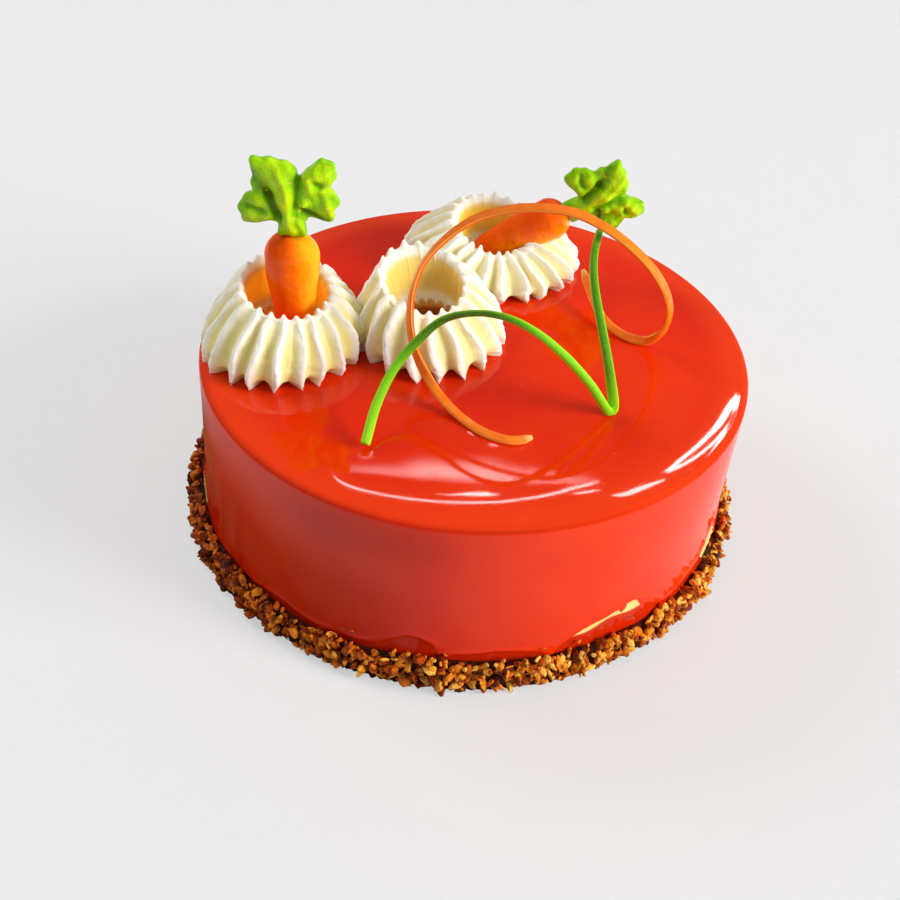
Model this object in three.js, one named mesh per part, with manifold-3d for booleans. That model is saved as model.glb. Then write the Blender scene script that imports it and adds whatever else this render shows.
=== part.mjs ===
// A round carrot cake under a mirror glaze, as a patisserie finishes it: a straight-sided cake, a band
// of chopped nuts pressed round its foot, three fluted cream rings piped on top, two moulded sugar
// carrots set in the rings, a folded chive stalk and a long curl of carrot peel.
// Units are millimetres, +Z is up, the cake stands on Z = 0 with its foot centred on the origin, and
// -Y is the front. Every solid is closed and stays a hair's breadth (GAP) clear of the next one.

import * as THREE from 'three';
import Module from 'manifold-3d';
import { mergeVertices } from 'three/addons/utils/BufferGeometryUtils.js';

const wasm = await Module();
wasm.setup();

// ---------------------------------------------------------------- driving dimensions
const GAP = 0.3;

const CAKE_RADIUS = 91;
const CAKE_HEIGHT = 64;
const RIM_FILLET = 4;
const FOOT_FLARE = 1.6; // the glaze gathers towards the foot
const TOP_SHIFT = 2.2; // the top sits this far to +X of the foot
const CAKE_SIDES = 72;

const BAND_HEIGHT = 12.5;
const BAND_THICKNESS = 4.9;
const BAND_STEPS = 72;

const RING_SAMPLES_PER_RIDGE = 4;

const ROOT_LENGTH = 40.3;
const ROOT_RADIUS = 8.6;
const ROOT_FLATNESS = 0.86; // depth over width
const ROOT_SIDES = 16;
const LEAF_THICKNESS = 6.4;
const LEAF_STEPS = 44;

const CHIVE_RADIUS = 1.6;
const CHIVE_SIDES = 8;
const CHIVE_STEPS = 46;

const CURL_WIDTH = 3.0;
const CURL_THICKNESS = 1.2;
const CURL_STEPS = 60;

// ---------------------------------------------------------------- materials
const material = (color, roughness, metalness = 0) =>
  new THREE.MeshStandardMaterial({ color, roughness, metalness });

const GLAZE = material(0xe2301a, 0.06);
const NUTS = material(0xb8712a, 0.7);
const CREAM = material(0xf6f0d8, 0.45);
const ROOT_SUGAR = material(0xee7416, 0.18);
const LEAF_SUGAR = material(0x7fc414, 0.25);
const CHIVE_SKIN = material(0x56b81c, 0.4);
const PEEL = material(0xf28a34, 0.35);

// ---------------------------------------------------------------- helpers
const radians = THREE.MathUtils.degToRad;
const smoothstep = THREE.MathUtils.smoothstep;
const lerp = THREE.MathUtils.lerp;
const clamp = THREE.MathUtils.clamp;

// Height of the glazed top, and the shift of the cake's axis at height z.
const TOP = CAKE_HEIGHT;
const axisShift = (z) => TOP_SHIFT * z / CAKE_HEIGHT;

// A slow uneven wave in [-1, 1] round a full turn: three harmonics with phases set by seed.
function wave(angle, seed) {
  const a = Math.sin(2 * angle + 1.7 * seed);
  const b = Math.sin(5 * angle + 2.9 * seed);
  const c = Math.sin(9 * angle + 4.1 * seed);
  return (a + 0.7 * b + 0.5 * c) / 2.2;
}

// A repeatable uneven number in [-1, 1] for item number i.
function jitter(i, seed) {
  const s = Math.sin(12.9898 * i + 78.233 * seed) * 43758.5453; // any large, unrelated numbers do
  return 2 * (s - Math.floor(s)) - 1;
}

// Joins rings of equal length into one closed surface. A closed loft runs back to its first ring;
// an open one is shut by a fan on each end.
function loft(rings, closed) {
  const count = rings[0].length;
  const positions = rings.flat().flatMap((p) => [p.x, p.y, p.z]);
  const index = [];
  const bands = closed ? rings.length : rings.length - 1;
  for (let i = 0; i < bands; i += 1) {
    const next = (i + 1) % rings.length;
    for (let j = 0; j < count; j += 1) {
      const k = (j + 1) % count;
      const a = i * count + j;
      const b = i * count + k;
      const c = next * count + k;
      const d = next * count + j;
      index.push(a, b, c, a, c, d);
    }
  }
  if (!closed) {
    for (const [ring, start, flip] of [
      [rings[0], 0, true],
      [rings.at(-1), (rings.length - 1) * count, false],
    ]) {
      const centre = ring.reduce((s, p) => s.add(p), new THREE.Vector3()).divideScalar(count);
      const apex = positions.length / 3;
      positions.push(centre.x, centre.y, centre.z);
      for (let j = 0; j < count; j += 1) {
        const a = start + j;
        const b = start + (j + 1) % count;
        index.push(...(flip ? [apex, b, a] : [apex, a, b]));
      }
    }
  }
  const geometry = new THREE.BufferGeometry();
  geometry.setAttribute('position', new THREE.Float32BufferAttribute(positions, 3));
  geometry.setIndex(signedVolume(positions, index) > 0 ? index : index.reverse());
  return geometry;
}

// Six times the volume inside a triangle mesh, negative where its faces look inwards.
function signedVolume(positions, index) {
  const corner = (i) => new THREE.Vector3().fromArray(positions, 3 * i);
  let sum = 0;
  for (let i = 0; i < index.length; i += 3) {
    const [a, b, c] = [corner(index[i]), corner(index[i + 1]), corner(index[i + 2])];
    sum += a.dot(b.cross(c));
  }
  return sum;
}

// A closed mesh as a manifold solid, in the coordinates of the mesh's parent.
function toSolid(mesh) {
  mesh.updateMatrix();
  const geometry = mesh.geometry.clone().applyMatrix4(mesh.matrix);
  geometry.deleteAttribute('normal');
  geometry.deleteAttribute('uv');
  const merged = mergeVertices(geometry, 1e-5);
  return new wasm.Manifold(new wasm.Mesh({
    numProp: 3,
    vertProperties: new Float32Array(merged.attributes.position.array),
    triVerts: new Uint32Array(merged.index.array),
  }));
}

function fromSolid(solid) {
  const mesh = solid.getMesh();
  const geometry = new THREE.BufferGeometry();
  geometry.setAttribute('position', new THREE.Float32BufferAttribute(mesh.vertProperties, 3));
  geometry.setIndex(Array.from(mesh.triVerts));
  return geometry;
}

function named(name, geometry, surface) {
  const mesh = new THREE.Mesh(geometry, surface);
  mesh.name = name;
  return mesh;
}

// ---------------------------------------------------------------- the cake and its nut band
// Radius of the glazed wall at height z: straight, a little flared at the foot, rounded at the rim.
function wallRadius(z) {
  const flare = FOOT_FLARE * (1 - smoothstep(z, 0, 0.45 * CAKE_HEIGHT));
  const over = clamp(z - (CAKE_HEIGHT - RIM_FILLET), 0, RIM_FILLET);
  return CAKE_RADIUS + flare - RIM_FILLET + Math.sqrt(RIM_FILLET ** 2 - over ** 2);
}

function cakeBody() {
  const wallSteps = [0, 0.25, 0.45].map((t) => t * CAKE_HEIGHT);
  const rimSteps = [0, 22.5, 45, 67.5, 90].map(
    (deg) => CAKE_HEIGHT - RIM_FILLET + RIM_FILLET * Math.sin(radians(deg)),
  );
  const rings = [...wallSteps, ...rimSteps].map((z) => {
    const ring = [];
    for (let i = 0; i < CAKE_SIDES; i += 1) {
      const angle = 2 * Math.PI * i / CAKE_SIDES;
      const r = wallRadius(z);
      ring.push(new THREE.Vector3(axisShift(z) + r * Math.cos(angle), r * Math.sin(angle), z));
    }
    return ring;
  });
  return named('cake_body', loft(rings, false), GLAZE);
}

// The band of chopped nuts: a ring pressed to the wall, its outer face and top edge uneven.
function nutBand() {
  const sections = [];
  for (let i = 0; i < BAND_STEPS; i += 1) {
    const angle = 2 * Math.PI * i / BAND_STEPS;
    const height = BAND_HEIGHT * (1 + 0.16 * wave(angle, 1) + 0.06 * jitter(i, 2));
    const thick = BAND_THICKNESS * (1 + 0.14 * wave(angle, 3) + 0.07 * jitter(i, 4));
    const at = (offset, z) => {
      const r = wallRadius(z) + offset;
      return new THREE.Vector3(axisShift(z) + r * Math.cos(angle), r * Math.sin(angle), z);
    };
    sections.push([
      at(GAP, 0),
      at(GAP, height - 0.8),
      at(0.5 * thick, height),
      at(0.85 * thick, 0.72 * height),
      at(thick, 0.35 * height),
      at(0.96 * thick, 0),
    ]);
  }
  return named('nut_crumb_band', loft(sections, true), NUTS);
}

// ---------------------------------------------------------------- piped cream rings
// Each ring comes from one press of a wide fluted nozzle with a cone in its middle. The profile of a
// ridge's crest goes from the inner foot over the wall and back: [share of the way from the hole's foot
// radius to the outer foot radius, share of the height, depth of the valley beside it in mm].
const RING_PROFILE = [
  [0.98, 0.0, 3.4],
  [1.0, 0.08, 3.7],
  [0.985, 0.28, 3.3],
  [0.93, 0.52, 2.9],
  [0.8, 0.74, 2.4],
  [0.62, 0.91, 1.7],
  [0.46, 1.0, 0.9],
  [0.31, 0.95, 0.0],
  [0.16, 0.6, 0.0],
  [0.0, 0.0, -0.7],
];

// name, centre on the top, outer foot radius, hole's foot radius, height, ridges, place of one ridge in
// degrees, twist of the ridges in degrees, lean of the top in X and Y, extra height at the rear, stretch
// in X, the side of the contact plane that a front ring keeps to, and the dent pressed into the rim
const CREAM_RINGS = [
  {
    name: 'cream_ring_left', x: -60.8, y: -10.4, foot: 25.9, hole: 9.0, height: 25, ridges: 21,
    ridgeAt: -78.5, twist: 6, leanX: 2.6, leanY: 1.6, rear: 0.04, stretch: 1.0, side: -1, dent: 0,
  },
  {
    name: 'cream_ring_middle', x: -12.2, y: -1.9, foot: 24.3, hole: 8.6, height: 24, ridges: 17,
    ridgeAt: -83.6, twist: 10, leanX: -3.6, leanY: 1.4, rear: 0.2, stretch: 1.0, side: 1, dent: 0,
  },
  {
    name: 'cream_ring_back', x: 4.6, y: 46.2, foot: 25.4, hole: 9.2, height: 20.5, ridges: 18,
    ridgeAt: -77, twist: 8, leanX: 2.0, leanY: 0.6, rear: 0.04, stretch: 1.24, side: 0, dent: 6.4,
  },
];

// The lying carrot has pushed the front of the back ring's rim down, most of all here.
const DENT_AT = radians(-80);
const DENT_REACH = radians(50);

// The two front rings press on each other in an upright plane through this point of the top, across the
// line between their middles.
const CONTACT = { x: -35.2, y: -6.2, slant: -0.17 };

// X of a point of a ring, kept on the ring's own side of the contact plane.
function pressed(x, y, side) {
  const plane = CONTACT.x + CONTACT.slant * (y - CONTACT.y) + side * 0.5 * (GAP + 0.1);
  if (side < 0) return Math.min(x, plane);
  return side > 0 ? Math.max(x, plane) : x;
}

function creamRing(ring) {
  const steps = ring.ridges * RING_SAMPLES_PER_RIDGE;
  const sections = [];
  for (let i = 0; i < steps; i += 1) {
    const turn = i / steps;
    const ridge = Math.round(turn * ring.ridges) % ring.ridges;
    const valley = Math.abs(Math.sin(Math.PI * turn * ring.ridges)) ** 0.8;
    const uneven = 1 + 0.025 * jitter(ridge, ring.ridges) + 0.02 * wave(2 * Math.PI * turn, ring.foot);
    const base = radians(ring.ridgeAt) + 2 * Math.PI * turn;
    sections.push(RING_PROFILE.map(([out, up, depth]) => {
      const angle = base + radians(ring.twist) * up;
      const around = Math.atan2(Math.sin(angle - DENT_AT), Math.cos(angle - DENT_AT));
      const dent = ring.dent * Math.exp(-((around / DENT_REACH) ** 2));
      const rise = up * (ring.height * (1 + ring.rear * Math.sin(angle)) - dent);
      const notch = up === 1 ? 1.8 * valley : 0;
      const r = lerp(ring.hole, ring.foot, out) * (out > 0.4 ? uneven : 1) - depth * valley;
      const x = ring.x + ring.leanX * up + ring.stretch * r * Math.cos(angle);
      const y = ring.y + ring.leanY * up + r * Math.sin(angle);
      return new THREE.Vector3(pressed(x, y, ring.side), y, TOP + GAP + rise - notch);
    }));
  }
  return named(ring.name, loft(sections, true), CREAM);
}

// ---------------------------------------------------------------- moulded sugar carrots
// Both carrots come from one mould. In its own frame the root's tip is the origin, the carrot points
// along +Z and its face looks to -Y.

// Radius of the root from its tip (t = 0) to the top of its shoulder (t = 1).
function rootRadius(t) {
  const tip = Math.sqrt(1 - (1 - Math.min(1, t / 0.16)) ** 2);
  const shoulder = Math.sqrt(1 - clamp((t - 0.82) / 0.18, 0, 1) ** 2);
  return ROOT_RADIUS * tip * lerp(0.62, 1, smoothstep(t, 0, 0.8)) * lerp(0.46, 1, shoulder);
}

function rootRings(swell) {
  const steps = [0.004, 0.04, 0.09, 0.16, 0.32, 0.5, 0.68, 0.82, 0.9, 0.96, 1];
  return steps.map((t) => {
    const ring = [];
    for (let i = 0; i < ROOT_SIDES; i += 1) {
      const angle = 2 * Math.PI * i / ROOT_SIDES;
      const r = rootRadius(t) + swell;
      ring.push(new THREE.Vector3(
        r * Math.cos(angle), ROOT_FLATNESS * r * Math.sin(angle), ROOT_LENGTH * t,
      ));
    }
    return ring;
  });
}

// The leaf's outline, seen from its face, as [degrees from straight up towards +X, reach in mm] round
// the leaf's middle. Its lobes and notches alternate; the stretch near 180 is the short stalk.
const LEAF_MIDDLE = 53;
const LEAF_OUTLINE = [
  [-43, 17.2], [-26, 14.7], [-9, 12.7], [9, 10.8], [20, 8.2], [28, 11.6], [37, 17.5], [47, 18.2],
  [57, 17.2], [70, 13.4], [87, 15.2], [100, 14.2], [118, 14.2], [124, 10.6], [133, 8.1], [147, 8.6],
  [160, 13.1], [180, 12.3], [197, 12.9], [208, 8.7], [225, 11.2], [235, 15.6], [244, 16.8],
  [261, 15.9], [272, 13.6], [284, 11.6], [297, 13.1], [306, 13.6],
];

// Cubic curve through the outline's points, closed round the full turn.
const leafCurve = new THREE.CatmullRomCurve3(
  LEAF_OUTLINE.map(([deg, reach]) => new THREE.Vector3(
    reach * Math.sin(radians(deg)), 0, LEAF_MIDDLE + reach * Math.cos(radians(deg)),
  )),
  true,
  'catmullrom',
  0.6,
);

// The leaf is a cushion: rings shrink from the outline to the middle on the face and on the back. It
// grows from the foot of its stalk, just above the root, on a neck drawn out by so many mm.
function leafRings(neck) {
  const outline = leafCurve.getSpacedPoints(LEAF_STEPS).slice(0, LEAF_STEPS);
  const layers = [
    [0.16, -0.5], [0.62, -0.44], [0.92, -0.22], [1, 0.02], [0.9, 0.26], [0.55, 0.42], [0.14, 0.46],
  ];
  const middle = new THREE.Vector3(0, 0, LEAF_MIDDLE);
  const stalkFoot = ROOT_LENGTH + GAP;
  return layers.map(([share, depth]) => outline.map((edge) => {
    const p = middle.clone().lerp(edge, share);
    p.y = LEAF_THICKNESS * depth;
    p.z += neck * smoothstep(p.z, stalkFoot, stalkFoot + 5);
    return p;
  }));
}

// tip of the root, rotation about X, Y and Z in degrees, size against the mould, extra neck in mm
const CARROTS = [
  { side: 'left', tip: [-56.9, -8.2, TOP + GAP], turn: [0, 0, 0], size: 1, neck: 0 },
  { side: 'back', tip: [0.1, 49.4, TOP + 4.6], turn: [1.9, 58.7, 1.1], size: 0.89, neck: 2.4 },
];

function placed(mesh, carrot) {
  mesh.position.set(...carrot.tip);
  mesh.rotation.set(...carrot.turn.map(radians), 'XYZ');
  mesh.scale.setScalar(carrot.size);
  return mesh;
}

function carrotRoot(carrot, swell = 0) {
  const root = named(`carrot_${carrot.side}_root`, loft(rootRings(swell), false), ROOT_SUGAR);
  return placed(root, carrot);
}

function carrotLeaf(carrot) {
  const leaf = named(`carrot_${carrot.side}_leaf`, loft(leafRings(carrot.neck), false), LEAF_SUGAR);
  return placed(leaf, carrot);
}

// ---------------------------------------------------------------- chive stalk and peel curl
// Points above the glazed top, chosen by hand along each garnish.
const above = ([x, y, z]) => new THREE.Vector3(x, y, TOP + z);

// The chive rises from its cut end, arches over and comes down to a sharp fold on the glaze, then
// leans back to the curl.
const CHIVE_ARCH = [
  [-28.6, -59.9, 2.0], [-26.2, -48.4, 8.8], [-21.8, -38.2, 15], [-16, -32.4, 20.6], [-8.4, -30.4, 28],
  [1.4, -34, 33.8], [10.8, -37.4, 35.2], [19.4, -39.4, 32.2], [28.4, -39.2, 24.6], [37.8, -37.4, 13],
  [45.2, -35.9, 1.75],
];
const CHIVE_LEAN = [
  [46.2, -34.8, 1.75], [43.4, -34, 16], [39.4, -31.2, 30], [36.5, -26.8, 39.6], [35.6, -22.4, 44],
  [35.8, -16.4, 47.4], [37.2, -9.6, 50.2],
];

// The curl lies on the glaze at its tip, climbs past the middle ring, loops over and comes down.
const CURL_PATH = [
  [21.1, -50.6, 1.3], [15.2, -52.6, 1.3], [7.6, -50.4, 1.3], [0.2, -44.6, 1.6], [-7, -38.2, 4.2],
  [-12, -33.2, 8.5], [-15.6, -29.2, 13.4], [-17.6, -26.2, 18], [-18.6, -22.6, 22.6], [-18.4, -17.8, 29],
  [-15.6, -12.4, 36.2], [-9.2, -9.2, 43.8], [-0.8, -8, 50.4], [9.2, -8.6, 54.8], [19.4, -10.4, 57],
  [28.8, -12, 57], [37.8, -13.6, 54], [46.4, -13.8, 48.2], [54.8, -11.4, 39], [61.4, -6.8, 27],
  [63.9, -2.6, 16.6], [63, 1.4, 7.4], [58.8, 3.2, 2.5], [52, 6, 2.1], [45.3, 13, 3.4], [41.4, 23, 5.8],
  [38.2, 34.4, 9],
];

// Where the peel's outer face looks along the curl, as [share of its length, direction].
const CURL_FACING = [
  [0, [0, -0.2, 1]], [0.1, [0, -0.25, 1]], [0.22, [-0.75, -0.35, 0.45]], [0.34, [-0.97, -0.2, 0.2]],
  [0.44, [-0.7, -0.2, 0.6]], [0.52, [-0.1, -0.35, 1]], [0.62, [0.5, -0.5, 0.8]], [0.74, [0.7, -0.75, 0.2]],
  [0.84, [0.4, -0.8, 0.5]], [0.92, [-0.2, -0.5, 1]], [1, [-0.5, -0.3, 0.9]],
];

function facingAt(share) {
  const last = CURL_FACING.findIndex(([s]) => s >= share);
  const hi = Math.max(1, last);
  const [s0, a] = CURL_FACING[hi - 1];
  const [s1, b] = CURL_FACING[hi];
  const mix = smoothstep((share - s0) / (s1 - s0), 0, 1);
  return new THREE.Vector3(...a).lerp(new THREE.Vector3(...b), mix).normalize();
}

// One cross-section of a stalk or strip: an oval or a box, across the path at centre.
function crossSection(centre, tangent, facing, outline) {
  const across = new THREE.Vector3().crossVectors(facing, tangent).normalize();
  const out = new THREE.Vector3().crossVectors(tangent, across);
  return outline.map(([u, v]) => centre.clone().addScaledVector(across, u).addScaledVector(out, v));
}

function chiveStalk() {
  const arch = CHIVE_ARCH.map(above);
  const lean = CHIVE_LEAN.map(above);
  const path = new THREE.CatmullRomCurve3([...arch, ...lean], false, 'centripetal');
  const lengths = path.getLengths(400);
  const foldShare = lengths[Math.round(400 * (arch.length - 0.5) / (arch.length + lean.length - 1))]
    / lengths.at(-1);
  const facing = new THREE.Vector3(0.05, -1, 0.12).normalize();
  const sections = [];
  for (let i = 0; i <= CHIVE_STEPS; i += 1) {
    // steps crowd together towards the fold
    const even = i / CHIVE_STEPS;
    const s = even < foldShare
      ? foldShare * (1 - (1 - even / foldShare) ** 1.5)
      : foldShare + (1 - foldShare) * ((even - foldShare) / (1 - foldShare)) ** 1.5;
    const near = Math.exp(-(((s - foldShare) / 0.02) ** 2));
    const narrow = CHIVE_RADIUS * (1 - 0.45 * near);
    const wide = CHIVE_RADIUS * (1 + 0.1 * near);
    const outline = [];
    for (let k = 0; k < CHIVE_SIDES; k += 1) {
      const angle = 2 * Math.PI * k / CHIVE_SIDES;
      outline.push([narrow * Math.cos(angle), wide * Math.sin(angle)]);
    }
    sections.push(crossSection(path.getPointAt(s), path.getTangentAt(s), facing, outline));
  }
  return named('chive_stalk', loft(sections, false), CHIVE_SKIN);
}

function carrotCurl() {
  const path = new THREE.CatmullRomCurve3(CURL_PATH.map(above), false, 'centripetal');
  const sections = [];
  for (let i = 0; i <= CURL_STEPS; i += 1) {
    const share = i / CURL_STEPS;
    const taper = Math.min(1, 0.45 + share / 0.02, 0.45 + (1 - share) / 0.03);
    const w = CURL_WIDTH / 2 * taper;
    const t = CURL_THICKNESS / 2;
    const outline = [[-w, -t], [w, -t], [w, t], [-w, t]];
    sections.push(crossSection(path.getPointAt(share), path.getTangentAt(share), facingAt(share), outline));
  }
  return named('carrot_curl', loft(sections, false), PEEL);
}

// ---------------------------------------------------------------- the whole cake
const cake = new THREE.Group();
cake.add(cakeBody(), nutBand());

const [leftCarrot, backCarrot] = CARROTS;
for (const ring of CREAM_RINGS) {
  const mesh = creamRing(ring);
  if (ring.name === 'cream_ring_back') {
    // the lying carrot has pressed its own bed into the ring
    const bed = toSolid(carrotRoot(backCarrot, GAP + 0.1));
    mesh.geometry = fromSolid(toSolid(mesh).subtract(bed));
  }
  cake.add(mesh);
}
for (const carrot of [leftCarrot, backCarrot]) {
  cake.add(carrotRoot(carrot), carrotLeaf(carrot));
}
cake.add(chiveStalk(), carrotCurl());

export default cake;
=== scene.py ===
import bpy
import numpy as np
from mathutils import Matrix


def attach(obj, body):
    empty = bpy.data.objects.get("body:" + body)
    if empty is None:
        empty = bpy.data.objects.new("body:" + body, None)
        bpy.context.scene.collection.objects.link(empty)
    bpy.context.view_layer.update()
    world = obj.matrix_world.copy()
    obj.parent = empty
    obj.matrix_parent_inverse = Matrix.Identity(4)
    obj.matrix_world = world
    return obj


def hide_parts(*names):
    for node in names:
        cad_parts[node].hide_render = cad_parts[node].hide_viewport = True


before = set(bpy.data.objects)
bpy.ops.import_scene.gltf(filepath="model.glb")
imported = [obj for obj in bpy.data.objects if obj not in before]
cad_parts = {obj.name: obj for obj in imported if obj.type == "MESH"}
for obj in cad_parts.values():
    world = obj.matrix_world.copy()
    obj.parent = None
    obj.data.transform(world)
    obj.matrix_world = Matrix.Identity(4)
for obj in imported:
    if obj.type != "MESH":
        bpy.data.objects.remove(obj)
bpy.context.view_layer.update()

# ------------------ glazed cake
# A set mousse cake with a mirror glaze of sugar, gelatine and colour, poured over while it was cold.
# The glaze pulled itself flat on top, rolled over the rim and ran down the wall, where its lower edge
# set as an uneven thick lip above the bare cream-coloured mousse.
MM = 0.001
CAKE_RADIUS = 91.0
RIM_Z, RIM_REACH = 61.2, 2.6
FOOT_FLARE, FLARE_TOP = 1.6, 28.8
TOP_SHIFT, CAKE_HEIGHT = 2.2, 64.0
CROWN_Z, CROWN_DROP, CROWN_REACH = 64.9, 1.6, 84.0
# mean height of the glaze's lower edge and of the lower edge of the thin first coat under it, how far
# the lip stands out, and how far the first coat and the bare mousse lie behind the glaze
EDGE_MEAN, COAT_MEAN, LIP, COAT_STEP, BARE_STEP = 11.2, 14.4, 0.22, 0.24, 0.4
# azimuth and half width in degrees, then height in mm, of each rise and drip of the glaze's lower edge,
# dip of the first coat and narrow run of glaze on the wall
EDGE_RISES = [
    (-98, 6, 5.8), (-81, 9, 2.2), (-62, 5, 3.6), (-53, 6.5, 9.4), (-22, 5, 7.5), (-163, 5, 7.5),
    (14, 6, 4.5), (47, 5, 7), (84, 7, 5), (121, 4, 7.5), (150, 7, 4), (-54.5, 0.8, -3), (-49.3, 0.8, -4),
    (-70, 1.3, -3), (-17, 1.2, -4.5), (-91, 1.3, -3), (118, 1.2, -4)]
COAT_DIPS = [(-98, 9, -5), (-128, 9, -4), (-52, 8, -2.2), (-21, 5, 9), (-164, 4, 7), (121, 4, 5)]
WALL_RUNS = [
    (-159, 1.3, 0.5), (-154, 1, 0.45), (-148, 1.4, 0.4), (-141, 1.1, 0.35), (120, 1.6, 0.4),
    (64, 1.3, 0.4), (20, 1.2, 0.35), (-18, 1.5, 0.3)]
# azimuth, half width and strength of the painted shade in the crease of the rim, of the painted shade and
# painted dark reflection low on the wall, and of a painted dark reflection near the wall's top
PAINTED_CREASE_SHADE = [(-132, 12, 0.4), (-108, 14, 0.6), (-84, 14, 0.8), (-62, 10, 0.5)]
PAINTED_LOW_SHADE = [(-165, 42, 0.9)]
PAINTED_DARK_REFLECTION = [(-116, 13, 0.55), (-97, 9, 0.44)]
# x, y, radius and height of the soft swellings of glaze where a garnish touches it
PUDDLES = [(18, -51.5, 2.6, 0.14), (10, -51.8, 2.6, 0.14), (3, -47.5, 2.6, 0.16), (46, -35.5, 2.6, 0.2),
           (-28.5, -60.5, 2.2, 0.14), (57, 4, 2.6, 0.15), (49, 9, 2.6, 0.15)]


def ease(x, low, high):
    """0 below low, 1 above high, and 3 t^2 - 2 t^3 between."""
    t = np.clip((x - low) / (high - low), 0, 1)
    return t * t * (3 - 2 * t)


def build(name, points, faces, smooth=True, **attributes):
    """Object over points in metres and faces as lists of their numbers, with attributes on its points."""
    mesh = bpy.data.meshes.new(name)
    mesh.from_pydata(points.tolist(), [], faces)
    mesh.polygons.foreach_set("use_smooth", np.full(len(faces), smooth))
    for key, values in attributes.items():
        mesh.attributes.new(key, "FLOAT", "POINT").data.foreach_set("value", values)
    mesh.update()
    piece = bpy.data.objects.new(name, mesh)
    bpy.context.collection.objects.link(piece)
    return piece


def bell(x, middle, width):
    """exp(-((x - middle) / width)^2), so 1 in the middle."""
    return np.exp(-((x - middle) / width) ** 2)


def skin(name, rows, loop=False, **attributes):
    """Closed mesh over rows of points (row, place round the row, xyz in mm): quads between neighbouring
    rows, each row shut on itself. The rows run back to the first one, or each end row closes in a fan
    to its own middle. The faces are turned outwards by the sign of the enclosed volume."""
    n, m = rows.shape[:2]
    points = rows.reshape(-1, 3)
    values = {key: np.ravel(marks) for key, marks in attributes.items()}
    i = np.arange(n if loop else n - 1)[:, None]
    j = np.arange(m)[None, :]
    nxt, side = (i + 1) % n, (j + 1) % m
    quads = np.stack([i * m + j, i * m + side, nxt * m + side, nxt * m + j], -1).reshape(-1, 4)
    fans = np.zeros((0, 3), int)
    if not loop:
        points = np.vstack([points, rows[0].mean(0), rows[-1].mean(0)])
        values = {key: np.append(v, [v[:m].mean(), v[-m:].mean()]) for key, v in values.items()}
        k, step = j[0], side[0]
        first = np.stack([np.full(m, n * m), step, k], -1)
        last = np.stack([np.full(m, n * m + 1), (n - 1) * m + k, (n - 1) * m + step], -1)
        fans = np.vstack([first, last])
    triangles = np.vstack([quads[:, [0, 1, 2]], quads[:, [0, 2, 3]], fans])
    a, b, c = (points[triangles[:, q]] for q in range(3))
    if np.einsum("ij,ij->", a, np.cross(b, c)) < 0:
        quads, fans = quads[:, ::-1], fans[:, ::-1]
    return build(name, points * MM, quads.tolist() + fans.tolist(), **values)


class Nodes:
    """Short ways to add joined nodes to a node tree."""

    def __init__(self, tree):
        self.nodes, self.links = tree.nodes, tree.links

    def feed(self, node, inputs):
        """Each input, by name or number, takes a value or is joined to a socket."""
        for key, value in inputs.items():
            if isinstance(value, bpy.types.NodeSocket):
                self.links.new(value, node.inputs[key])
            else:
                node.inputs[key].default_value = value

    def add(self, kind, inputs, **settings):
        """Outputs of a new node; its settings are what it does besides its inputs."""
        node = self.nodes.new("ShaderNode" + kind)
        for key, value in settings.items():
            setattr(node, key, value)
        self.feed(node, inputs)
        return node.outputs

    def place(self):
        """Object coordinates, in metres."""
        return self.add("TexCoord", {})["Object"]

    def mark(self, key):
        return self.add("Attribute", {}, attribute_name=key)["Fac"]

    def noise(self, scale, detail=3.0, rough=0.5, stretch=None):
        spot = self.place()
        if stretch:
            spot = self.add("Mapping", {"Vector": spot, "Scale": stretch})["Vector"]
        settings = {"Scale": scale, "Detail": detail, "Roughness": rough, "Vector": spot}
        return self.add("TexNoise", settings)["Fac"]

    def grade(self, source, low, high, out_low=0.0, out_high=1.0):
        """Source carried from low..high to out_low..out_high, clamped."""
        return self.add("MapRange", {"Value": source, "From Min": low, "From Max": high,
                                     "To Min": out_low, "To Max": out_high})["Result"]

    def ramp(self, source, *stops):
        """Colour ramp from (place, (r, g, b)) stops."""
        shown = self.add("ValToRGB", {"Fac": source})["Color"]
        elements = shown.node.color_ramp.elements
        while len(elements) < len(stops):
            elements.new(0.5)
        for element, (place, colour) in zip(elements, stops):
            element.position = place
            element.color = (*colour, 1)
        return shown

    def mix(self, amount, one, two, how="MIX"):
        """Mix of two colours; each is a socket or an (r, g, b)."""
        one, two = ((*c, 1) if isinstance(c, tuple) else c for c in (one, two))
        return self.add("Mix", {0: amount, 6: one, 7: two}, data_type="RGBA", blend_type=how)[2]

    def sum(self, one, two, how="ADD"):
        return self.add("Math", {0: one, 1: two}, operation=how)[0]

    def times(self, one, two):
        return self.sum(one, two, "MULTIPLY")


class Look(Nodes):
    """A node material, with the inputs of its shader given by name as values or sockets."""

    def __init__(self, name, **inputs):
        self.material = bpy.data.materials.new(name)
        self.material.use_nodes = True
        super().__init__(self.material.node_tree)
        self.shader = self.nodes["Principled BSDF"]
        self.give(**inputs)

    def give(self, **inputs):
        self.feed(self.shader, {key.replace("_", " "): value for key, value in inputs.items()})

    def bump(self, *layers):
        """Bump from (height source, depth in metres) layers, one on the other."""
        under = {}
        for source, depth in layers:
            under = {"Normal": self.add("Bump", {"Height": source, "Distance": depth, **under})["Normal"]}
        self.give(**under)

    def on(self, piece):
        piece.data.materials.clear()
        piece.data.materials.append(self.material)


def keep(piece, look, slot, *nodes):
    """The piece takes its look, rides on the cake and stands for its CAD nodes."""
    look.on(piece)
    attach(piece, "root")
    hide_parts(*nodes)


def glaze_top(x, y):
    """Height of the glaze on top: flat in the middle, falling with the fourth power of the distance
    towards the rim, with a low round swelling at each place where a garnish touches it."""
    z = CROWN_Z - CROWN_DROP * (np.hypot(x - TOP_SHIFT, y) / CROWN_REACH) ** 4
    for px, py, reach, height in PUDDLES:
        z = z + height * np.exp(-((x - px) ** 2 + (y - py) ** 2) / reach ** 2 * 1.6)
    return z


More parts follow.
